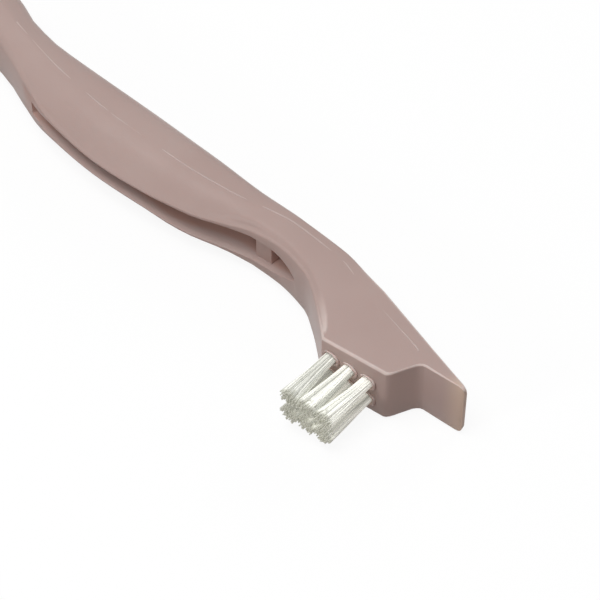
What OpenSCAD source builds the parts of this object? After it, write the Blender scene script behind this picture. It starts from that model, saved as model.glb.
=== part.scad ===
// Crevice cleaning brush: a one-piece moulded handle, two rows of bristle tufts in drilled
// holes, and the metal anchor that holds each tuft. It lies on its side, with +X towards the
// scraper tip, +Z through the thickness and -Y the way the bristles point.

/* [Overall] */
// Length from the tail end to the scraper tip
overall_len = 180; // [150:1:210]
// Thickness of the moulding along its parting line
handle_t = 12; // [10:0.5:15]

/* [Grip] */
// From the heel of the tuft face back to the thinnest part of the neck
neck_at = 19; // [16:0.5:23]
// From the heel back to the deepest part of the grip
belly_at = 55; // [50:0.5:62]
// From the heel back to the narrow part behind the grip
waist_at = 84; // [78:0.5:92]
// Depth of the grip from the slot's lips to the back
grip_depth = 13.9; // [12:0.1:16]
// Depth of the neck
neck_depth = 6.8; // [6:0.1:8.5]
// Depth of the waist behind the grip
waist_depth = 8.4; // [7:0.1:10]
// Depth of the tail's wide end
tail_depth = 11; // [9.5:0.1:13]
// Thickness of the tail
tail_t = 9; // [7:0.5:12]
// Outer thickness across the lips where the grip is deepest
lip_t = 4.3; // [4.1:0.1:5.5]
// Outer thickness of the flange along the neck
flange_t = 10.4; // [9:0.1:11]

/* [Cored slot] */
// Gap between the lips where the grip is deepest
slot_gap = 3.1; // [2.6:0.1:3.3]
// Gap between the walls beside the cross rib
slot_gap_neck = 5.7; // [4.6:0.1:6.2]
// Depth of the slot where the grip is deepest
slot_depth = 8.6; // [5:0.1:9.5]
// Length of the slot, from its tail end to the cross rib
slot_len = 48.5; // [44:0.5:52]
// Width of the cross rib along the handle
rib_w = 3.8; // [1.5:0.1:5]
// How far the rib's face lies below the lips
rib_recess = 1; // [0.6:0.1:2.5]
// Length of the small pocket between the rib and the neck
pocket_len = 6; // [5:0.1:7]

/* [Head] */
// Length of the tuft face
face_len = 12.3; // [11.6:0.1:14]
// Angle of the tuft face to the length of the handle
face_ang = 7; // [0:0.5:12]
// Depth of the head from the tuft face to the back
head_depth = 12.9; // [11:0.1:15]
// Height of the step between the tuft face and the scraper
step_h = 5.2; // [4:0.1:6]
// Length of the scraper in front of the step
scraper_len = 8.2; // [6:0.1:11]
// Thickness of the scraper's edge
tip_edge = 0.7; // [0.4:0.1:1.2]
// Radius of the head's long edges
edge_r = 0.5; // [0.3:0.1:0.9]

/* [Tufts] */
// Tufts in a row
cols = 3; // [2:1:3]
// Rows of tufts across the thickness
rows = 2; // [1:1:2]
// Bore of a tuft hole
hole_d = 2.6; // [2.2:0.05:2.9]
// Depth of a tuft hole
hole_depth = 7; // [5:0.1:8]
// Spacing of the tufts along the face
col_pitch = 3.5; // [3.3:0.05:3.9]
// Spacing of the two rows
row_pitch = 4.2; // [3.7:0.05:4.6]
// From the heel to the first tuft
first_col = 1.1; // [1.1:0.05:2.4]
// How much lower each tuft of a row lies than the one before it, as drilled
row_skew = 0.4; // [0:0.05:0.45]
// Length of bristle that stands out of the face
tuft_free = 10.2; // [8:0.1:13]
// Lean of the tufts from square to their face, back towards the heel
tuft_lean = 7; // [0:0.5:9]
// How much wider in radius a tuft is at its tip
tuft_flare = 0.3; // [0:0.05:0.35]

/* [Anchors] */
// Thickness of the flat wire
anchor_t = 0.4; // [0.3:0.05:0.5]
// Width of the anchor across the hole
anchor_w = 3.2; // [3.1:0.05:3.4]
// Height of the anchor
anchor_h = 1.6; // [1:0.1:2]
// Bristle folded under the anchor
fold_h = 0.9; // [0.6:0.1:1.4]

/* [Hanging hole] */
// Bore of the hanging hole
hang_d = 5; // [3:0.1:6]
// From the tail end to the centre of the hole
hang_inset = 8; // [7:0.1:12]

/* [Fits] */
// Clearance round a tuft in its hole
tuft_clear = 0.1; // [0.05:0.01:0.15]
// Clearance round an anchor in its groove and its fold
anchor_clear = 0.05; // [0.03:0.01:0.08]

/* [Hidden] */
half_t = handle_t / 2;
// The head's outline, from the heel (0, 0) along the face to A, up the step to B, and on to the tip.
heel_x = -0.6;
ax = (face_len + heel_x) * cos(face_ang);
ay = ax * tan(face_ang);
step_ang = 65;
bx = ax + step_h / tan(step_ang);
by = ay + step_h;
tip_x = bx + scraper_len;
under_ang = 5;
tip_y = by + scraper_len * tan(under_ang);
tail_x = tip_x - overall_len;

// The back of the handle: the head's back is a straight line down to the scraper's edge.
neck_lo = 9.5;
belly_lo = 4.05;
waist_lo = 10.5;
head_back = head_depth + 0.6;
back_tip = tip_y + tip_edge;
neck_hi = neck_lo + neck_depth;
belly_hi = belly_lo + grip_depth;
waist_hi = waist_lo + waist_depth;
tail_mid = 18.2;
tail_flat = tail_x + 22;

// A place between two others, by its share of the way.
function between(a, b, k) = a + (b - a) * k;

back = [
    [tail_x, tail_mid + tail_depth / 2],
    [tail_flat, tail_mid + tail_depth / 2 - 0.1],
    [between(tail_flat, -waist_at, 0.55), between(tail_mid, waist_hi, 0.2) + waist_depth / 2 + 0.3],
    [between(tail_flat, -waist_at, 0.85), between(tail_mid, waist_hi, 0.55) + waist_depth / 4 + 0.9],
    [-waist_at, waist_hi],
    [between(-waist_at, -belly_at, 0.3), between(waist_hi, belly_hi, 1.25)],
    [-belly_at, belly_hi],
    [between(-belly_at, -neck_at, 0.42), between(belly_hi, neck_hi, 0.27)],
    [between(-belly_at, -neck_at, 0.75), between(belly_hi, neck_hi, 0.78)],
    [-neck_at, neck_hi],
    [between(-neck_at, 0, 0.5), between(neck_hi, head_back, 0.17)],
    [between(-neck_at, 0, 0.8), between(neck_hi, head_back, 0.58)],
    [2, head_back],
    [between(2, tip_x, 0.5), between(head_back, back_tip, 0.515)],
    [tip_x, back_tip]
];

// The inner edge, from the tail to the heel. The head's own outline takes over there.
under = [
    [tail_x, tail_mid - tail_depth / 2],
    [tail_flat, tail_mid - tail_depth / 2 + 0.3],
    [between(tail_flat, -waist_at, 0.55), between(tail_mid, waist_lo, 0.2) - waist_depth / 2 + 0.6],
    [between(tail_flat, -waist_at, 0.85), between(tail_mid, waist_lo, 0.55) - waist_depth / 4 + 0.1],
    [-waist_at, waist_lo],
    [between(-waist_at, -belly_at, 0.28), between(waist_lo, belly_lo, 0.43)],
    [between(-waist_at, -belly_at, 0.55), between(waist_lo, belly_lo, 0.81)],
    [-belly_at, belly_lo],
    [between(-belly_at, -neck_at, 0.3), between(belly_lo, neck_lo, 0.12)],
    [between(-belly_at, -neck_at, 0.53), between(belly_lo, neck_lo, 0.32)],
    [between(-belly_at, -neck_at, 0.75), between(belly_lo, neck_lo, 0.76)],
    [between(-belly_at, -neck_at, 0.88), between(belly_lo, neck_lo, 0.96)],
    [-neck_at, neck_lo],
    [between(-neck_at, 0, 0.37), 8.3],
    [between(-neck_at, 0, 0.6), 5.7],
    [between(-neck_at, 0, 0.79), 2.9],
    [heel_x, heel_x * tan(face_ang)]
];

// The parting line on the side, where the moulding is thickest.
parting = [
    [tail_x, tail_mid],
    [between(tail_flat, -waist_at, 0.85), tail_mid - 1],
    [-waist_at, waist_lo + 0.54 * waist_depth],
    [between(-waist_at, -belly_at, 0.5), belly_lo + 0.59 * grip_depth],
    [-belly_at, belly_lo + 0.51 * grip_depth],
    [between(-belly_at, -neck_at, 0.36), belly_lo + 0.52 * grip_depth],
    [between(-belly_at, -neck_at, 0.68), between(belly_lo + 0.5 * grip_depth, neck_hi - 2, 0.4)],
    [-neck_at, neck_hi - 2],
    [between(-neck_at, 0, 0.45), neck_hi - 2.4],
    [bx - 1, by + 1.3],
    [bx, by + 0.5],
    [tip_x, tip_y + 0.3 * tip_edge]
];

// Outer thickness along the inner edge, from lip to lip.
mouth_t = [
    [tail_x, tail_t - 0.6],
    [between(tail_flat, -waist_at, 0.6), tail_t - 0.6],
    [-waist_at - 3, handle_t - 0.8],
    [-waist_at + 3, handle_t - 2.3],
    [between(-waist_at, -belly_at, 0.4), between(handle_t, lip_t, 0.6)],
    [between(-waist_at, -belly_at, 0.55), between(handle_t, lip_t, 0.84)],
    [-belly_at, lip_t],
    [between(-belly_at, -neck_at, 0.3), between(lip_t, flange_t, 0.08)],
    [between(-belly_at, -neck_at, 0.45), between(lip_t, flange_t, 0.27)],
    [between(-belly_at, -neck_at, 0.6), between(lip_t, flange_t, 0.34)],
    [between(-belly_at, -neck_at, 0.72), between(lip_t, flange_t, 0.5)],
    [between(-belly_at, -neck_at, 0.84), between(lip_t, flange_t, 0.77)],
    [-neck_at, between(lip_t, flange_t, 0.97)],
    [between(-neck_at, 0, 0.16), flange_t],
    [-4, flange_t],
    [-1.6, between(flange_t, handle_t, 0.4)],
    [heel_x, handle_t],
    [tip_x, handle_t]
];

// Places of the slot, the rib and the pocket.
rib_x1 = -neck_at - 1.6;
rib_x0 = rib_x1 - rib_w;
slot_x0 = rib_x0 - slot_len;
pocket_x1 = rib_x1 + pocket_len;
ramp = 0.35;

slot_floor = [
    [slot_x0, 0],
    [slot_x0 + 1, 0.17 * slot_depth],
    [slot_x0 + 0.13 * slot_len, 0.55 * slot_depth],
    [slot_x0 + 0.26 * slot_len, 0.86 * slot_depth],
    [slot_x0 + 0.4 * slot_len, slot_depth],
    [slot_x0 + 0.6 * slot_len, 0.93 * slot_depth],
    [slot_x0 + 0.78 * slot_len, 0.66 * slot_depth],
    [rib_x0 - 4, 0.52 * slot_depth],
    [rib_x0, 0.5 * slot_depth],
    [rib_x0 + ramp, rib_recess],
    [rib_x1 - ramp, rib_recess],
    [rib_x1, 0.48 * slot_depth],
    [pocket_x1 - ramp, 0.4 * slot_depth],
    [pocket_x1, 0]
];

// Width of the slot's floor as a share of its mouth's. The rib's face is flat from wall to wall.
floor_share = 0.55;
rib_share = 0.94;
floor_k = [
    [slot_x0, floor_share],
    [rib_x0, floor_share],
    [rib_x0 + ramp, rib_share],
    [rib_x1 - ramp, rib_share],
    [rib_x1, floor_share],
    [pocket_x1, floor_share]
];

slot_width = [
    [slot_x0, 0.85 * slot_gap],
    [slot_x0 + 0.12 * slot_len, 1.08 * slot_gap],
    [slot_x0 + 0.45 * slot_len, slot_gap],
    [slot_x0 + 0.61 * slot_len, between(slot_gap, slot_gap_neck, 0.22)],
    [slot_x0 + 0.69 * slot_len, between(slot_gap, slot_gap_neck, 0.52)],
    [slot_x0 + 0.8 * slot_len, between(slot_gap, slot_gap_neck, 0.66)],
    [rib_x0, slot_gap_neck],
    [rib_x1, 0.97 * slot_gap_neck],
    [rib_x1 + 0.4 * pocket_len, 0.82 * slot_gap_neck],
    [rib_x1 + 0.75 * pocket_len, 0.48 * slot_gap_neck],
    [pocket_x1 - ramp, 1.1],
    [pocket_x1, 0.8]
];

// Thickness of the whole section.
full_t = [
    [tail_x, tail_t],
    [tail_flat, tail_t],
    [between(tail_flat, -waist_at, 0.55), between(tail_t, handle_t, 0.3)],
    [-waist_at - 6, handle_t],
    [-waist_at, handle_t],
    [tip_x, handle_t]
];

// How round the back is: the corner's reach towards the parting line, and through the thickness.
back_ry = [[tail_x, 3.2], [-waist_at, 3], [-belly_at, 3.6], [-neck_at - 8, 2], [-neck_at, 1.2],
    [0, edge_r + 0.2], [tip_x - 3, edge_r], [tip_x, 0.2]];
back_rz = [[tail_x, 2.8], [-waist_at, 3.2], [-belly_at, 4], [-neck_at - 8, 2.2], [-neck_at, 1.2],
    [0, edge_r + 0.2], [tip_x, edge_r]];
lip_r = [[tail_x, 2.4], [-waist_at, 1.6], [slot_x0, 0.5], [-belly_at, 0.3], [-neck_at, 0.4],
    [0, edge_r], [bx, edge_r], [tip_x, 0.3]];
// Width of the ledge where the flange steps down from the flat side, and how much of it there is.
ledge_w = [[tail_x, 1.2], [-neck_at - 11, 1.2], [-neck_at, 1.1], [-12, 1],
    [-8, 1.5], [-4, 2.1], [heel_x, 1.4], [tip_x, 0.3]];
block_k = [[tail_x, 0], [-neck_at - 12, 0], [-neck_at - 3, 1], [bx + 1, 1], [tip_x, 1]];

// Reading a table of [x, value], straight or smooth, between its rows.
function row_at(t, x, i = 0) = i >= len(t) - 2 || x < t[i + 1][0] ? i : row_at(t, x, i + 1);
function straight(t, x) =
    let (i = row_at(t, x), u = (x - t[i][0]) / (t[i + 1][0] - t[i][0]))
    t[i][1] + (t[i + 1][1] - t[i][1]) * min(max(u, 0), 1);
function rise(t, i) = (t[i + 1][1] - t[i][1]) / (t[i + 1][0] - t[i][0]);
// The slope at a row is the harmonic mean of its neighbours', so the curve never overshoots.
function slope(t, i) =
    i == 0 ? rise(t, 0) :
    i == len(t) - 1 ? rise(t, i - 1) :
    let (a = rise(t, i - 1), b = rise(t, i))
    a * b <= 0 ? 0 : 2 * a * b / (a + b);
function smooth(t, x) =
    let (
        i = row_at(t, x),
        w = t[i + 1][0] - t[i][0],
        u = min(max((x - t[i][0]) / w, 0), 1),
        a = slope(t, i) * w,
        b = slope(t, i + 1) * w,
        d = t[i + 1][1] - t[i][1]
    )
    t[i][1] + a * u + (3 * d - 2 * a - b) * u * u + (a + b - 2 * d) * u * u * u;
// The lower or the higher of two values with a soft corner between them.
function soft_min(a, b, k) = min(a, b) - pow(max(k - abs(a - b), 0), 2) / k / 4;
function soft_max(a, b, k) = -soft_min(-a, -b, k);

// The round end of the tail: how much of the section is left at x.
end_r = tail_depth / 2;
function end_k(x) = x >= tail_x + end_r ? 1 :
    sqrt(max(1 - pow((tail_x + end_r - x) / end_r, 2), 0.04));
function tip_k(x) = x <= tip_x - 1.2 ? 1 : sqrt(max(1 - pow((x - tip_x + 1.2) / 1.2, 2), 0)) * 0.18 + 0.82;

function head_under(x) =
    soft_min(
        soft_max(x * tan(face_ang), ay + (x - ax) * tan(step_ang), 1.2),
        by + (x - bx) * tan(under_ang), 1.6);
function raw_lo(x) = x <= heel_x ? smooth(under, x) : head_under(x);
function raw_hi(x) = smooth(back, x);
function lo(x) = between((raw_lo(x) + raw_hi(x)) / 2, raw_lo(x), end_k(x));
function hi(x) = between((raw_lo(x) + raw_hi(x)) / 2, raw_hi(x), end_k(x));
function th(x) = smooth(full_t, x) / 2 * between(0.55, 1, end_k(x)) * tip_k(x);

// Half of one cross-section, from the slot's floor round the lip and the side to the back.
lens_u = [1, 0.95, 0.87, 0.76, 0.63, 0.49, 0.34, 0.18, 0];
block_u = [0.1, 0.3, 0.55, 0.85, 1];
arc_n = 5;
function half_section(x) =
    let (
        l = lo(x),
        h = hi(x),
        t2 = th(x),
        d = straight(slot_floor, x) * (x > slot_x0 && x < pocket_x1 ? 1 : 0),
        yp = min(max(smooth(parting, x), l + 0.25 * (h - l)), h - 0.2 * (h - l)),
        ry = min(smooth(back_ry, x), 0.8 * (h - yp)),
        rz = min(smooth(back_rz, x), 0.8 * t2),
        tb = t2 - between(0.5, 0.25, smooth(block_k, x)),
        m2 = min(smooth(mouth_t, x) / 2 * end_k(x) * tip_k(x), t2 - 0.02),
        g2 = min(smooth(slot_width, x) / 2, m2 - 0.5),
        f = straight(floor_k, x),
        r0 = min(smooth(lip_r, x), 0.35 * (yp - l) + 0.02, m2 - g2 - 0.2),
        k = smooth(block_k, x),
        w = min(smooth(ledge_w, x), 0.7 * (yp - l - r0)),
        yv = l + r0 + w,
        block_y = [for (u = [0, 0.05, 0.3, 0.6, 1]) l + r0 + u * w],
        block_h = [m2, m2 + 0.01, between(m2, t2, 0.35), between(m2, t2, 0.85), t2 - 0.001],
        flat_y = [for (u = [0.25, 0.5, 0.75, 1]) between(yv, yp, u)]
    )
    concat(
        // the floor of the slot, its wall, and the lip
        [[l + d, f * g2], [l + 0.85 * d, between(f, 1, 0.55) * g2], [l + min(0.2, d), g2], [l, g2 + 0.12]],
        [[l, m2 - r0], [l + 0.3 * r0, m2 - 0.3 * r0]],
        // the side from the lip to the parting line, as a lens and as a flat side with a ledge
        [for (j = [0:8]) let (
                lens = [yp + (l + r0 - yp) * lens_u[j], m2 + (t2 - m2) * (1 - pow(lens_u[j], 2))],
                flat = j < 5 ? [block_y[j], block_h[j]] : [flat_y[j - 5], t2]
            ) lens * (1 - k) + flat * k],
        // the back
        [for (j = [0:arc_n]) let (a = 90 - 90 * j / arc_n) [h - ry + ry * cos(a), tb - rz + rz * sin(a)]]
    );
function section(x) = let (s = half_section(x), n = len(s))
    concat([for (i = [0:n - 1]) [x, s[i][0], s[i][1]]], [for (i = [n - 1:-1:0]) [x, s[i][0], -s[i][1]]]);

// Stations along the handle, closer where the form changes quickly.
function steps(a, b, n) = [for (i = [0:n - 1]) a + (b - a) * i / n];
stations = concat(
    [tail_x, tail_x + 0.25, tail_x + 0.9, tail_x + 2, tail_x + 3.6],
    steps(tail_x + end_r + 0.2, -waist_at - 8, 9),
    steps(-waist_at - 8, slot_x0 - 0.6, 5),
    [slot_x0 - 0.6, slot_x0, slot_x0 + 0.5, slot_x0 + 1],
    steps(slot_x0 + 3, rib_x0 - 1.5, 19),
    [rib_x0 - 1.5, rib_x0, rib_x0 + ramp, rib_x1 - ramp, rib_x1],
    steps(rib_x1 + 1, pocket_x1 - ramp, 5),
    [pocket_x1 - ramp, pocket_x1],
    steps(pocket_x1 + 1.4, -1.6, 8),
    [-1.6, heel_x, 0.4, ax - 0.5, ax - 0.1, ax + 0.25, ax + 0.6],
    [between(ax, bx, 0.5), bx - 0.45, bx - 0.1, bx + 0.35, bx + 0.9, between(bx, tip_x, 0.4)],
    [tip_x - 2.4, tip_x - 1.2, tip_x - 0.6, tip_x - 0.2, tip_x]
);

module skin(rings) {
    n = len(rings);
    m = len(rings[0]);
    polyhedron(
        points = [for (r = rings) for (p = r) p],
        faces = concat(
            [[for (j = [0:m - 1]) (m / 2 - j + m) % m]],
            [[for (j = [0:m - 1]) (n - 1) * m + (m / 2 + j) % m]],
            [for (i = [0:n - 2]) for (j = [0:m - 1]) [i * m + j, (i + 1) * m + (j + 1) % m, (i + 1) * m + j]],
            [for (i = [0:n - 2]) for (j = [0:m - 1]) [i * m + j, i * m + (j + 1) % m, (i + 1) * m + (j + 1) % m]]
        ),
        convexity = 8
    );
}

// The frame's origin is the middle of the object's box, on the surface that it lies on.
tuft_r = hole_d / 2 - tuft_clear;
tip_r = tuft_r + tuft_flare;
tuft_ang = face_ang - tuft_lean;
low_y = first_col * sin(face_ang) - tuft_free * cos(tuft_ang) - tip_r * abs(sin(tuft_ang));
high_y = max([for (x = stations) hi(x)]);
mid_x = tip_x - overall_len / 2;
mid_y = (low_y + high_y) / 2;

module in_frame() {
    translate([-mid_x, -mid_y, half_t]) children();
}

// Puts its children at one tuft: +Z runs out of the hole, and z = 0 lies on the tuft face.
module at_tuft(col, row) {
    along = first_col + col * col_pitch;
    in_frame()
        translate([along * cos(face_ang), along * sin(face_ang),
            (row - (rows - 1) / 2) * row_pitch - col * row_skew])
            rotate([90, 0, tuft_ang]) children();
}

module hang_axis() {
    in_frame()
        translate([tail_x + hang_inset, tail_mid, 0]) children();
}

groove_bottom = hole_depth - fold_h - tuft_clear + anchor_clear;
module handle() {
    color([0.69, 0.61, 0.59])
        difference() {
            in_frame() skin([for (x = stations) section(x)]);
            for (col = [0:cols - 1])
                for (row = [0:rows - 1])
                    at_tuft(col, row) {
                        translate([0, 0, -hole_depth]) cylinder(d = hole_d, h = hole_depth + 1, $fn = 32);
                        // the groove that driving the anchor leaves in the wall
                        translate([-anchor_t / 2 - anchor_clear, -anchor_w / 2 - anchor_clear, -groove_bottom])
                            cube([anchor_t + 2 * anchor_clear, anchor_w + 2 * anchor_clear, groove_bottom + 1]);
                    }
            hang_axis() cylinder(d = hang_d, h = 2 * handle_t, center = true, $fn = 48);
        }
}

// A tuft is one bundle folded round its anchor, so the anchor's slot runs right through it.
module tuft(col, row) {
    foot = hole_depth - tuft_clear;
    color([0.93, 0.93, 0.9])
        at_tuft(col, row)
            difference() {
                union() {
                    translate([0, 0, -foot]) cylinder(r = tuft_r, h = foot, $fn = 32);
                    cylinder(r1 = tuft_r, r2 = tip_r, h = tuft_free, $fn = 32);
                }
                translate([-anchor_t / 2 - anchor_clear, -hole_d, -foot + fold_h - anchor_clear])
                    cube([anchor_t + 2 * anchor_clear, 2 * hole_d, anchor_h + 2 * anchor_clear]);
            }
}

module anchor(col, row) {
    color([0.75, 0.75, 0.74])
        at_tuft(col, row)
            translate([-anchor_t / 2, -anchor_w / 2, -hole_depth + tuft_clear + fold_h])
                cube([anchor_t, anchor_w, anchor_h]);
}

handle();
tuft(0, 0);  // tuft_1a
tuft(1, 0);  // tuft_2a
tuft(2, 0);  // tuft_3a
tuft(0, 1);  // tuft_1b
tuft(1, 1);  // tuft_2b
tuft(2, 1);  // tuft_3b
anchor(0, 0);  // anchor_1a
anchor(1, 0);  // anchor_2a
anchor(2, 0);  // anchor_3a
anchor(0, 1);  // anchor_1b
anchor(1, 1);  // anchor_2b
anchor(2, 1);  // anchor_3b
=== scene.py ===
"""Looks of the crevice brush: satin mauve moulding, clear white bristles and steel anchors."""

import math

import bmesh
import bpy
from mathutils import Matrix, Vector


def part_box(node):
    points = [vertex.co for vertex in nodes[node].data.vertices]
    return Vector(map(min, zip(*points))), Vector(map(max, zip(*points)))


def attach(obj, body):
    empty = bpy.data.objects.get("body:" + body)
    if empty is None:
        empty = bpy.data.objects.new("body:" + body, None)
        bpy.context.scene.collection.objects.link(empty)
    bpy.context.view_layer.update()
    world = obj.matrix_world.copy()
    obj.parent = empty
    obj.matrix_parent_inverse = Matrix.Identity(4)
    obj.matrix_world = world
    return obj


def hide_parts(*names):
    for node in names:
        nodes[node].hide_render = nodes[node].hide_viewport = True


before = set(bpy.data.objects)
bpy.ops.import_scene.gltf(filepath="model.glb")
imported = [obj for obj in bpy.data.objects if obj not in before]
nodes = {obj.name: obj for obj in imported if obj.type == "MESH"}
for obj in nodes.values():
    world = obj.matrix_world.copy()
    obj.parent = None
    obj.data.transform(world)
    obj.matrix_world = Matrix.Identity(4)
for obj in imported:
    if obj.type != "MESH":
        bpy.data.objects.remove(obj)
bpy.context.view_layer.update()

MM = 0.001
COLUMNS = ("1", "2", "3")
ROWS = ("a", "b")

# Where the handle's painted light and shade start and stop: each pair is the start and the end of a
# change

EDGE_HIGHLIGHT_X = (60 * MM, 67 * MM)
SCRAPER_LIGHT_X = (85.5 * MM, 90 * MM)
SLOT_HEEL_X = (-9 * MM, -7 * MM)
SLOT_NECK_X = (56 * MM, 54 * MM)
SLOT_BED_Y = (9.5 * MM, 8.5 * MM)
SLOT_LIP_Y = -2 * MM
SLOT_LIP_CLIMB = 4.3 * MM
SLOT_LIP_CLIMB_X = (26 * MM, 42 * MM)
SLOT_IN_FROM_LIP = (0.9 * MM, 2 * MM)
SLOT_HALF_GAP = (3.4 * MM, 2.9 * MM)
HALF_THICKNESS = 6 * MM

# How the pieces are made

MERGE_DISTANCE = 0.002 * MM
SMOOTH_BELOW = math.radians(46)
PARTING_X = (-20 * MM, 80 * MM)
TUFT_FREE = 10.2 * MM
REST_IN_HOLE = Vector((0.14, 0, 0.1)) * MM
GOLDEN_ANGLE = math.pi * (3 - math.sqrt(5))
LEAN_CURVE = 1.3
CORE_SHADE = 0.24

# Studio: places in metres

CAMERA_PLACE = (0.21858, -0.18014, 0.32731)
CAMERA_AIM = (0.05354, 0.00316, 0.0)
LIGHT_AIM = (0.04, 0.0, 0.0)
FLOOR_HALF = 3.0
FLOOR_Z = -0.3 * MM
ROOM_LIGHT = 0.13


def srgb(red, green, blue):
    """A colour read off a picture, 0 to 255, as the linear colour that shaders take."""
    return tuple(((c / 255 + 0.055) / 1.055) ** 2.4 for c in (red, green, blue)) + (1.0,)


# Nodes written as Python: Term is a number on a tree, Tree adds every other node.


class Term:
    """A number on a node tree, so that maths on it reads as Python."""

    def __init__(self, tree, socket):
        self.tree = tree
        self.socket = socket

    def _math(self, operation, *values):
        return self.tree.add("ShaderNodeMath", {"operation": operation}, *values).out()

    def __add__(self, other):
        return self._math("ADD", self, other)

    def __sub__(self, other):
        return self._math("SUBTRACT", self, other)

    def __rsub__(self, other):
        return self._math("SUBTRACT", other, self)

    def __mul__(self, other):
        return self._math("MULTIPLY", self, other)

    def __truediv__(self, other):
        return self._math("DIVIDE", self, other)

    def __pow__(self, other):
        return self._math("POWER", self, other)

    def __abs__(self):
        return self._math("ABSOLUTE", self)

    __radd__ = __add__
    __rmul__ = __mul__

    def cos(self):
        return self._math("COSINE", self)

    def sin(self):
        return self._math("SINE", self)

    def above(self, other):
        return self._math("MAXIMUM", self, other)

    def ramp(self, start, end):
        """0 at start, 1 at end, and a smooth step between them."""
        kind = {"interpolation_type": "SMOOTHSTEP"}
        ends = {"From Min": start, "From Max": end}
        return self.tree.add("ShaderNodeMapRange", kind, Value=self, **ends).out()


class Added:
    """A node that Tree.add made."""

    def __init__(self, tree, node):
        self.tree = tree
        self.node = node

    def out(self, name=0):
        return Term(self.tree, self.node.outputs[name])


class Tree:
    """A node tree, for a material, the world or geometry."""

    def __init__(self, tree):
        self.tree = tree
        self.tree.nodes.clear()

    def add(self, kind, settings=None, *values, **named):
        """Adds a node: its settings first, then its sockets' values or links, in order or by name."""
        node = self.tree.nodes.new(kind)
        for name, value in (settings or {}).items():
            setattr(node, name, value)
        for key, value in [*enumerate(values), *named.items()]:
            if value is None:
                continue
            socket = node.inputs[key]
            if isinstance(value, Term):
                self.tree.links.new(value.socket, socket)
            else:
                socket.default_value = value
        return Added(self, node)


def material(name):
    """A new material and its empty tree."""
    made = bpy.data.materials.new(name)
    made.use_nodes = True
    return made, Tree(made.node_tree)


def place_in_object(tree):
    """The point being shaded, in metres."""
    return tree.add("ShaderNodeTexCoord").out("Object")


def split(tree, point):
    """The three coordinates of a point or vector."""
    parts = tree.add("ShaderNodeSeparateXYZ", None, point)
    return parts.out("X"), parts.out("Y"), parts.out("Z")


def noise(tree, point, size, detail=2.0, roughness=0.5):
    """Noise from 0 to 1 whose features are about size metres across."""
    return tree.add(
        "ShaderNodeTexNoise", None, Vector=point, Scale=1 / size, Detail=detail, Roughness=roughness
    ).out("Fac")


def mix(tree, share, first, second):
    """A colour between two, by its share of the second."""
    not_colours = [None] * 5
    return tree.add(
        "ShaderNodeMix", {"data_type": "RGBA"}, share, *not_colours, first, second
    ).out(2)


def surface(tree, made, **sockets):
    """The principled shader and the material's output."""
    shader = tree.add("ShaderNodeBsdfPrincipled", None, **sockets)
    tree.add("ShaderNodeOutputMaterial", None, shader.out())
    return made


def bump(tree, height, depth):
    """A normal that follows a height of 0 to 1 over a depth in metres."""
    return tree.add("ShaderNodeBump", None, Height=height, Distance=depth, Strength=1.0).out()


def seen_in_picture(tree):
    """1 on the rays that make the picture, straight or by a mirror or glass, and 0 on the rest."""
    rays = tree.add("ShaderNodeLightPath")
    straight = rays.out("Is Camera Ray")
    mirrored = rays.out("Is Glossy Ray")
    refracted = rays.out("Is Transmission Ray")
    return straight.above(mirrored).above(refracted)


# Materials


def inside_slot(x, y, z):
    """1 on the walls of the slot hollowed into the grip, where its painted shade goes, and 0 outside
    it.
    """
    above_lip = y - SLOT_LIP_Y - x.ramp(*SLOT_LIP_CLIMB_X) * SLOT_LIP_CLIMB
    off_middle = abs(z - HALF_THICKNESS)
    across = above_lip.ramp(*SLOT_IN_FROM_LIP) * off_middle.ramp(*SLOT_HALF_GAP) * y.ramp(*SLOT_BED_Y)
    return across * (x.ramp(*SLOT_HEEL_X) * x.ramp(*SLOT_NECK_X))


def moulded_plastic(name, face, shade, lit_through_tip, edge_highlight, slot_shade):
    """Satin polypropylene: a fine mould texture, slow drifts of colour, painted light through the thin
    scraping tip, painted highlight on the edges round the head, and painted shade, darker and warmer,
    inside the slot."""
    made, tree = material(name)
    point = place_in_object(tree)
    x, y, z = split(tree, point)
    drift = noise(tree, point, 16 * MM, 2.0)
    speck = noise(tree, point, 1.1 * MM, 1.0)
    colour = mix(tree, drift.ramp(0.3, 0.7) * 0.5 + speck.ramp(0.62, 0.8) * 0.12, face, shade)
    # painted light: the last few millimetres of the thin scraping tip are paler and yellower, standing
    # in for light that shines through the thin plastic
    colour = mix(tree, x.ramp(*SCRAPER_LIGHT_X) * 0.7, colour, lit_through_tip)
    # painted shade: the walls inside the slot are darker and warmer, standing in for the shade that
    # falls in it
    colour = mix(tree, inside_slot(x, y, z), colour, slot_shade)
    facing = tree.add("ShaderNodeNewGeometry").out("Normal")
    upward = abs(split(tree, facing)[2])
    # painted highlight: where the surface turns between up and sideways round the head it is paler,
    # standing in for the light that the edges catch
    highlight_mask = upward.ramp(0.2, 0.55) * upward.ramp(0.985, 0.85)
    colour = mix(tree, highlight_mask * x.ramp(*EDGE_HIGHLIGHT_X) * (0.6 + speck * 0.3), colour, edge_highlight)
    grain = noise(tree, point, 0.35 * MM, 2.0)
    waves = noise(tree, point, 9 * MM, 1.0)
    normal = bump(tree, grain * 0.012 + waves * 0.25, 1 * MM)
    rough = 0.29 + drift * 0.06 + grain * 0.05
    sockets = {
        "Base Color": colour,
        "Roughness": rough,
        "Normal": normal,
        "Specular IOR Level": 0.12,
        "Subsurface Weight": 0.12,
        "Subsurface Radius": (1.2 * MM, 0.6 * MM, 0.5 * MM),
        "Subsurface Scale": 1.0,
    }
    return surface(tree, made, **sockets)


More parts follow.
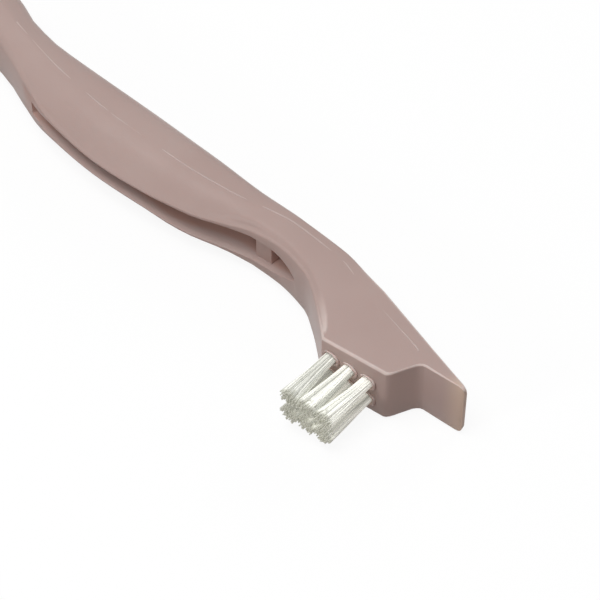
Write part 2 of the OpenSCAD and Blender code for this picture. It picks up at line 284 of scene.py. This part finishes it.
def clear_nylon(name, lit, shade, dull_and_shade_grey, cut):
    """Bristle: clear white nylon, some filaments duller than others at random, painted shade on the
    core and on the left of the bundles, a faint painted glow, and greyer where they are cut.
    """
    made, tree = material(name)
    point = place_in_object(tree)
    along = tree.add("ShaderNodeMapping", None, point, Scale=(1.0, 0.06, 1.0)).out()
    streak = noise(tree, along, 0.3 * MM, 2.0)
    colour = mix(tree, streak.ramp(0.35, 0.65), lit, shade)
    dullness_and_shade = tree.add("ShaderNodeAttribute", {"attribute_name": "dullness_and_shade"}).out("Fac")
    # dull filaments at random, and painted shade on the core, on each bundle's left side and on the
    # whole left bundle
    colour = mix(tree, dullness_and_shade.ramp(0.4, 0.05) * 0.85, colour, dull_and_shade_grey)
    to_tip = tree.add("ShaderNodeAttribute", {"attribute_name": "along"}).out("Fac")
    colour = mix(tree, to_tip.ramp(0.95, 0.995) * 0.9, colour, cut)
    normal = bump(tree, streak, 0.02 * MM)
    rough = 0.3 + streak * 0.12
    sockets = {
        "Base Color": colour,
        "Roughness": rough,
        "Normal": normal,
        # painted light: the nylon glows faintly in its own colour, standing in for light that passes
        # through the clear filaments
        "Emission Color": colour,
        "Emission Strength": 0.2,
    }
    return surface(tree, made, **sockets)


def drawn_steel(name, bright, dull):
    """Flat drawn wire, streaked along its length."""
    made, tree = material(name)
    point = place_in_object(tree)
    along = tree.add("ShaderNodeMapping", None, point, Scale=(1.0, 1.0, 0.08)).out()
    streak = noise(tree, along, 0.12 * MM, 3.0)
    colour = mix(tree, streak.ramp(0.3, 0.7), bright, dull)
    normal = bump(tree, streak, 0.01 * MM)
    rough = 0.28 + streak * 0.2
    sockets = {"Base Color": colour, "Metallic": 1.0, "Roughness": rough, "Normal": normal}
    return surface(tree, made, **sockets)


def studio_floor(name, white, bounce, shown):
    """A white floor that the camera sees as nearly plain white, with the object's shadow left in it."""
    made, tree = material(name)
    seen = seen_in_picture(tree)
    plain = tree.add("ShaderNodeBsdfDiffuse", None, Color=mix(tree, seen, bounce, white))
    glow = tree.add("ShaderNodeEmission", None, Color=(1, 1, 1, 1), Strength=1.0)
    both = tree.add("ShaderNodeMixShader", None, seen * shown, plain.out(), glow.out())
    tree.add("ShaderNodeOutputMaterial", None, both.out())
    return made


# Geometry trees: the bristles, the parting line and the hole rims


def geometry_tree(name, inputs):
    """An empty geometry tree with named inputs, and each input as a Term."""
    group = bpy.data.node_groups.new(name, "GeometryNodeTree")
    group.interface.new_socket("Geometry", in_out="OUTPUT", socket_type="NodeSocketGeometry")
    for label, kind in inputs.items():
        group.interface.new_socket(label, in_out="INPUT", socket_type="NodeSocket" + kind)
    tree = Tree(group)
    ports = tree.add("NodeGroupInput")
    return group, tree, {label: ports.out(label) for label in inputs}


def vector(tree, x, y, z):
    """A vector from three numbers."""
    return tree.add("ShaderNodeCombineXYZ", None, x, y, z).out()


def end_tree(tree, geometry, plastic):
    """Ends a geometry tree: real faces in one material."""
    solid = tree.add("GeometryNodeRealizeInstances", None, geometry).out()
    solid = tree.add("GeometryNodeSetMaterial", None, solid, Material=plastic).out()
    tree.add("NodeGroupOutput", None, solid)


def bristle_tree():
    """Tuft: filaments in a sunflower pattern over the bed, with a random length, lean and bow each."""
    group, tree, size = geometry_tree(
        "bristle_tuft",
        {
            "Filaments": "Int",
            "Bed radius": "Float",
            "Tip radius": "Float",
            "Filament radius": "Float",
            "Foot": "Float",
            "Free length": "Float",
            "Core": "Float",
            "Gather": "Float",
            "Painted lightness": "Float",
            "Seed": "Int",
            "Material": "Material",
        },
    )

    def scatter(low, high, salt):
        """A random number for each filament."""
        return tree.add(
            "FunctionNodeRandomValue", {"data_type": "FLOAT"}, None, None, low, high,
            Seed=size["Seed"] + salt
        ).out(1)

    def keep(geometry, label, value):
        """Stores a number on each point of a geometry, under a label."""
        return tree.add(
            "GeometryNodeStoreNamedAttribute", {"data_type": "FLOAT", "domain": "POINT"},
            geometry, Name=label, Value=value
        ).out()

    def kept(label):
        """The number that keep stored under a label."""
        kind = {"data_type": "FLOAT"}
        return tree.add("GeometryNodeInputNamedAttribute", kind, label).out("Attribute")

    def leaning(height):
        """How far out a filament leans at a height: 0 in the hole and 1 at the tip."""
        return (height / size["Free length"]).above(0) ** LEAN_CURVE

    index = tree.add("GeometryNodeInputIndex").out()
    share = ((index + 0.5) / size["Filaments"]) ** 0.5
    turn = index * GOLDEN_ANGLE + scatter(-0.25, 0.25, 1)
    lobes = (turn * 4 + size["Seed"]).sin() * 0.07
    roots = tree.add("GeometryNodePoints", None, size["Filaments"]).out()
    roots = keep(roots, "share", share)
    roots = keep(roots, "turn", turn)
    reach = size["Tip radius"] * (share ** 0.8) * (1 + scatter(-0.12, 0.12, 2) + lobes)
    roots = keep(roots, "reach", reach)
    roots = keep(roots, "swing", scatter(-0.3, 0.3, 3))
    roots = keep(roots, "trim", scatter(-0.35, 0.2, 4) * MM)
    roots = keep(roots, "bow", scatter(-0.16, 0.16, 5) * MM)
    # Each filament's dullness: partly at random and in bands round the bundle, partly painted shade,
    # darker on each bundle's left side and on the whole left bundle by its column's lightness
    streak = (turn * 3 + size["Seed"]).sin() * 0.2 + 0.1
    dullness_and_shade = (scatter(0.0, 1.0, 6) + streak) * size["Painted lightness"] * (0.85 + turn.cos() * 0.15)
    roots = keep(roots, "dullness_and_shade", dullness_and_shade)
    path = tree.add("GeometryNodeCurvePrimitiveLine", None, (0, 0, 0), (0, 0, 1)).out()
    path = tree.add("GeometryNodeResampleCurve", None, path, Count=9).out()
    path = keep(path, "along", tree.add("GeometryNodeSplineParameter").out("Factor"))
    planted = tree.add("GeometryNodeInstanceOnPoints", None, roots, Instance=path).out()
    planted = tree.add("GeometryNodeRealizeInstances", None, planted).out()
    along = kept("along")
    height = along * (size["Free length"] + size["Foot"] + kept("trim")) - size["Foot"]
    lean = leaning(height)
    bed = size["Bed radius"] * kept("share")
    spread = bed * (1 - lean) + kept("reach") * lean
    angle = kept("turn") + kept("swing") * lean
    sway = kept("bow") * (along * math.pi).sin() * lean
    across = spread * angle.cos() + sway + size["Gather"] * lean
    aside = spread * angle.sin() - sway
    planted = tree.add(
        "GeometryNodeSetPosition", None, planted, Position=vector(tree, across, aside, height)
    ).out()
    ring = tree.add(
        "GeometryNodeCurvePrimitiveCircle", None, Resolution=6, Radius=size["Filament radius"]
    ).out()
    filaments = tree.add("GeometryNodeCurveToMesh", None, planted, ring, **{"Fill Caps": True}).out()

    # The middle of the bundle, which shows between the filaments
    unit_rod = {
        "Vertices": 20,
        "Side Segments": 12,
        "Radius Top": 1.0,
        "Radius Bottom": 1.0,
        "Depth": 1.0,
    }
    rod = tree.add("GeometryNodeMeshCone", None, **unit_rod).out("Mesh")
    x, y, z = split(tree, tree.add("GeometryNodeInputPosition").out())
    rod = keep(rod, "along", z)
    height = z * (size["Free length"] * size["Core"] + size["Foot"]) - size["Foot"]
    lean = leaning(height)
    girth = (size["Bed radius"] * (1 - lean) + size["Tip radius"] * lean) * size["Core"]
    middle = vector(tree, x * girth + size["Gather"] * lean, y * girth, height)
    core = tree.add("GeometryNodeSetPosition", None, rod, Position=middle).out()
    # painted shade: the core takes a darker colour than the filaments, so that the gaps between them
    # look shaded
    core = keep(core, "dullness_and_shade", CORE_SHADE)
    joined = tree.add("GeometryNodeJoinGeometry")
    for part in (filaments, core):
        tree.tree.links.new(part.socket, joined.node.inputs[0])
    end_tree(tree, joined.out(), size["Material"])
    return group


def seam_tree():
    """Parting line: a fine raised bead along a path."""
    group, tree, size = geometry_tree(
        "parting_bead", {"Path": "Geometry", "Bead radius": "Float", "Material": "Material"}
    )
    path = tree.add("GeometryNodeMeshToCurve", None, size["Path"]).out()
    place = tree.add("GeometryNodeInputPosition").out()
    faint = noise(tree, place, 7 * MM, 1.0).ramp(0.38, 0.56)
    ring = tree.add(
        "GeometryNodeCurvePrimitiveCircle", None, Resolution=8, Radius=size["Bead radius"]
    ).out()
    solid = tree.add(
        "GeometryNodeCurveToMesh", None, path, ring, **{"Scale": faint * 0.5 + 0.5, "Fill Caps": True}
    ).out()
    solid = tree.add("GeometryNodeSetShadeSmooth", None, solid).out()
    end_tree(tree, solid, size["Material"])
    return group


def rim_tree():
    """Hole rims: a low uneven ring of pushed-up plastic round each point of the start mesh."""
    group, tree, size = geometry_tree(
        "hole_rim",
        {
            "Holes": "Geometry",
            "Ring radius": "Float",
            "Bead radius": "Float",
            "Unevenness": "Float",
            "Material": "Material",
        },
    )
    ring = tree.add(
        "GeometryNodeCurvePrimitiveCircle", None, Resolution=40, Radius=size["Ring radius"]
    ).out()
    upright = (math.radians(90), 0, 0)
    rings = tree.add(
        "GeometryNodeInstanceOnPoints", None, size["Holes"], Instance=ring, Rotation=upright
    ).out()
    rings = tree.add("GeometryNodeRealizeInstances", None, rings).out()
    place = tree.add("GeometryNodeInputPosition").out()
    lift = noise(tree, place, 1.1 * MM, 1.0) - 0.5
    shift = vector(tree, lift * size["Unevenness"] * 0.5, lift * size["Unevenness"], 0)
    rings = tree.add("GeometryNodeSetPosition", None, rings, Offset=shift).out()
    bead = tree.add(
        "GeometryNodeCurvePrimitiveCircle", None, Resolution=10, Radius=size["Bead radius"]
    ).out()
    solid = tree.add("GeometryNodeCurveToMesh", None, rings, bead).out()
    solid = tree.add("GeometryNodeSetShadeSmooth", None, solid).out()
    end_tree(tree, solid, size["Material"])
    return group


def grown(name, group, values, start=None):
    """The plain mesh that a geometry tree makes, as a new object at the origin."""
    holder = bpy.data.objects.new(name + "_holder", start or bpy.data.meshes.new(name + "_start"))
    bpy.context.scene.collection.objects.link(holder)
    growing = holder.modifiers.new(name, "NODES")
    growing.node_group = group
    for item in group.interface.items_tree:
        if item.in_out == "INPUT" and item.name in values:
            growing[item.identifier] = values[item.name]
    bpy.context.view_layer.update()
    graph = bpy.context.evaluated_depsgraph_get()
    mesh = bpy.data.meshes.new_from_object(holder.evaluated_get(graph))
    bpy.data.objects.remove(holder)
    mesh.name = name
    piece = bpy.data.objects.new(name, mesh)
    bpy.context.scene.collection.objects.link(piece)
    return piece


# Pieces


def merged_copy(node, sharp):
    """A copy of a CAD node's mesh with its loose triangles joined, smooth but for its sharp edges."""
    loose = bmesh.new()
    loose.from_mesh(nodes[node].data)
    bmesh.ops.remove_doubles(loose, verts=loose.verts, dist=MERGE_DISTANCE)
    for face in loose.faces:
        face.smooth = True
    for edge in loose.edges:
        edge.smooth = edge.calc_face_angle(math.pi) < sharp
    mesh = bpy.data.meshes.new(node + "_merged")
    loose.to_mesh(mesh)
    loose.free()
    return mesh


def handle_piece(plastic):
    """The moulding, with its facets shaded as the smooth surfaces that they stand for."""
    mesh = merged_copy("handle", SMOOTH_BELOW)
    mesh.materials.clear()
    mesh.materials.append(plastic)
    piece = bpy.data.objects.new("moulded_handle", mesh)
    bpy.context.scene.collection.objects.link(piece)
    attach(piece, "root")
    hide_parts("handle")
    return piece


def parting_points(mesh, top):
    """The outermost line of the moulding on one side, from the grip to the head, read off its mesh."""
    heights = [vertex.co.z for vertex in mesh.vertices]
    edge = max(heights) if top else min(heights)
    off_edge = 0.02 * MM
    step = 0.05 * MM
    start, end = PARTING_X
    best = {}
    for vertex in mesh.vertices:
        place = vertex.co
        if abs(place.z - edge) > off_edge or not start < place.x < end:
            continue
        key = round(place.x / step)
        if key not in best or place.y > best[key].y:
            best[key] = place.copy()
    return [best[key] for key in sorted(best)]


def parting_line(moulding, plastic, bead):
    """The fine witness line of the mould's parting on both sides."""
    path = bpy.data.meshes.new("parting_path")
    points, edges = [], []
    sink = 0.6 * bead
    for top in (True, False):
        first = len(points)
        sunk = Vector((0, 0, -sink if top else sink))
        points += [p + sunk for p in parting_points(moulding.data, top)]
        edges += [(i, i + 1) for i in range(first, len(points) - 1)]
    path.from_pydata(points, edges, [])
    values = {"Bead radius": bead, "Material": plastic}
    piece = grown("parting_line", seam_tree(), values, start=path)
    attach(piece, "root")


def tuft_mouths():
    """The middle of each tuft's hole where it opens on the face, by tuft."""
    mouths = {}
    for letter in ROWS:
        for number in COLUMNS:
            low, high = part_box(f"tuft_{number}{letter}")
            middle = (low + high) / 2
            mouths[number + letter] = Vector((middle.x, low.y + TUFT_FREE, middle.z))
    return mouths


def hole_rims(plastic):
    """The small rim that the tufting tool pushed up round each hole."""
    holes = bpy.data.meshes.new("hole_places")
    holes.from_pydata(list(tuft_mouths().values()), [], [])
    values = {
        "Ring radius": 1.45 * MM,
        "Bead radius": 0.24 * MM,
        "Unevenness": 0.3 * MM,
        "Material": plastic,
    }
    piece = grown("hole_rims", rim_tree(), values, start=holes)
    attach(piece, "root")


def bristles(nylon):
    """Every tuft as single filaments, planted where its CAD bundle stands."""
    group = bristle_tree()
    mouths = tuft_mouths()
    for row, letter in enumerate(ROWS):
        for column, number in enumerate(COLUMNS):
            node = f"tuft_{number}{letter}"
            piece = grown(
                f"bristles_{number}{letter}",
                group,
                {
                    "Filaments": 140,
                    "Bed radius": 0.98 * MM,
                    "Tip radius": 1.66 * MM,
                    "Filament radius": 0.115 * MM,
                    "Foot": 5.4 * MM,
                    "Free length": TUFT_FREE,
                    "Core": 0.9,
                    "Gather": (1 - column) * 0.4 * MM,
                    # painted shade: the left column is darker
                    "Painted lightness": (0.42, 1.0, 1.0)[column],
                    "Seed": 10 * column + row,
                    "Material": nylon,
                },
            )
            mouth = mouths[number + letter] - REST_IN_HOLE
            tipped = Matrix.Rotation(math.radians(90), 4, "X")
            piece.data.transform(Matrix.Translation(mouth) @ tipped)
            for face in piece.data.polygons:
                face.use_smooth = True
            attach(piece, "root")
            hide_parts(node)


def finish_anchors(steel):
    """Gives the CAD anchors their steel."""
    for node in nodes:
        if node.startswith("anchor"):
            nodes[node].data.materials.clear()
            nodes[node].data.materials.append(steel)


# Studio


def look_at(thing, place, target):
    """Stands a camera or a lamp at a place, facing a target."""
    thing.location = place
    thing.rotation_mode = "QUATERNION"
    thing.rotation_quaternion = (Vector(target) - Vector(place)).to_track_quat("-Z", "Y")


def soft_box(name, place, target, side, power):
    """A square lamp, its side in metres and its power in watts."""
    lamp = bpy.data.lights.new(name, "AREA")
    lamp.shape = "SQUARE"
    lamp.size = side
    lamp.energy = power
    thing = bpy.data.objects.new(name, lamp)
    bpy.context.scene.collection.objects.link(thing)
    look_at(thing, place, target)


def studio():
    """The camera, the white floor, the room's light and the lamps."""
    scene = bpy.context.scene
    scene.view_settings.view_transform = "Standard"
    lens = bpy.data.cameras.new("camera")
    lens.lens = 150
    lens.sensor_width = 36
    lens.clip_start = 0.01
    camera = bpy.data.objects.new("camera", lens)
    scene.collection.objects.link(camera)
    look_at(camera, CAMERA_PLACE, CAMERA_AIM)
    scene.camera = camera

    floor_mesh = bpy.data.meshes.new("floor")
    signs = ((-1, -1), (1, -1), (1, 1), (-1, 1))
    corners = [(x * FLOOR_HALF, y * FLOOR_HALF, FLOOR_Z) for x, y in signs]
    floor_mesh.from_pydata(corners, [], [(0, 1, 2, 3)])
    paint = studio_floor(
        "floor_white", white=(1, 1, 1, 1), bounce=(0.40, 0.33, 0.30, 1), shown=0.9
    )
    floor_mesh.materials.append(paint)
    floor = bpy.data.objects.new("floor", floor_mesh)
    scene.collection.objects.link(floor)

    world = bpy.data.worlds.new("studio")
    scene.world = world
    world.use_nodes = True
    tree = Tree(world.node_tree)
    brightness = ROOM_LIGHT + seen_in_picture(tree) * (1 - ROOM_LIGHT)
    sky = tree.add("ShaderNodeBackground", None, (1, 1, 1, 1), brightness)
    tree.add("ShaderNodeOutputWorld", None, sky.out())

    soft_box("key_light", (-0.1, -0.2, 1.09), LIGHT_AIM, side=0.7, power=9.1)
    soft_box("front_light", (-0.2, -0.8, 0.38), LIGHT_AIM, side=0.18, power=1.65)
    soft_box("edge_light", (0.75, -0.4, 0.42), LIGHT_AIM, side=0.2, power=0.8)
    soft_box("back_light", (0.0, 0.9, 0.5), LIGHT_AIM, side=0.5, power=2.2)


# The brush

mauve = moulded_plastic(
    "satin_mauve_plastic",
    face=srgb(179, 157, 151),
    shade=srgb(173, 150, 144),
    lit_through_tip=srgb(212, 188, 168),
    edge_highlight=srgb(220, 204, 198),
    slot_shade=srgb(175, 143, 133),
)
# painted highlight: the parting bead's shape is real, and its paler colour stands in for the light that
# its fine ridge catches
seam_highlight = moulded_plastic(
    "parting_line_highlight_plastic",
    face=srgb(198, 178, 173),
    shade=srgb(188, 167, 162),
    lit_through_tip=srgb(196, 175, 166),
    edge_highlight=srgb(196, 175, 170),
    slot_shade=srgb(198, 178, 173),
)
nylon = clear_nylon(
    "white_nylon",
    lit=srgb(255, 255, 249),
    shade=srgb(240, 240, 232),
    dull_and_shade_grey=srgb(182, 183, 175),
    cut=srgb(186, 186, 174),
)
steel = drawn_steel("anchor_steel", bright=srgb(205, 205, 202), dull=srgb(170, 170, 168))

studio()
moulding = handle_piece(mauve)
parting_line(moulding, seam_highlight, bead=0.16 * MM)
hole_rims(mauve)
bristles(nylon)
finish_anchors(steel)
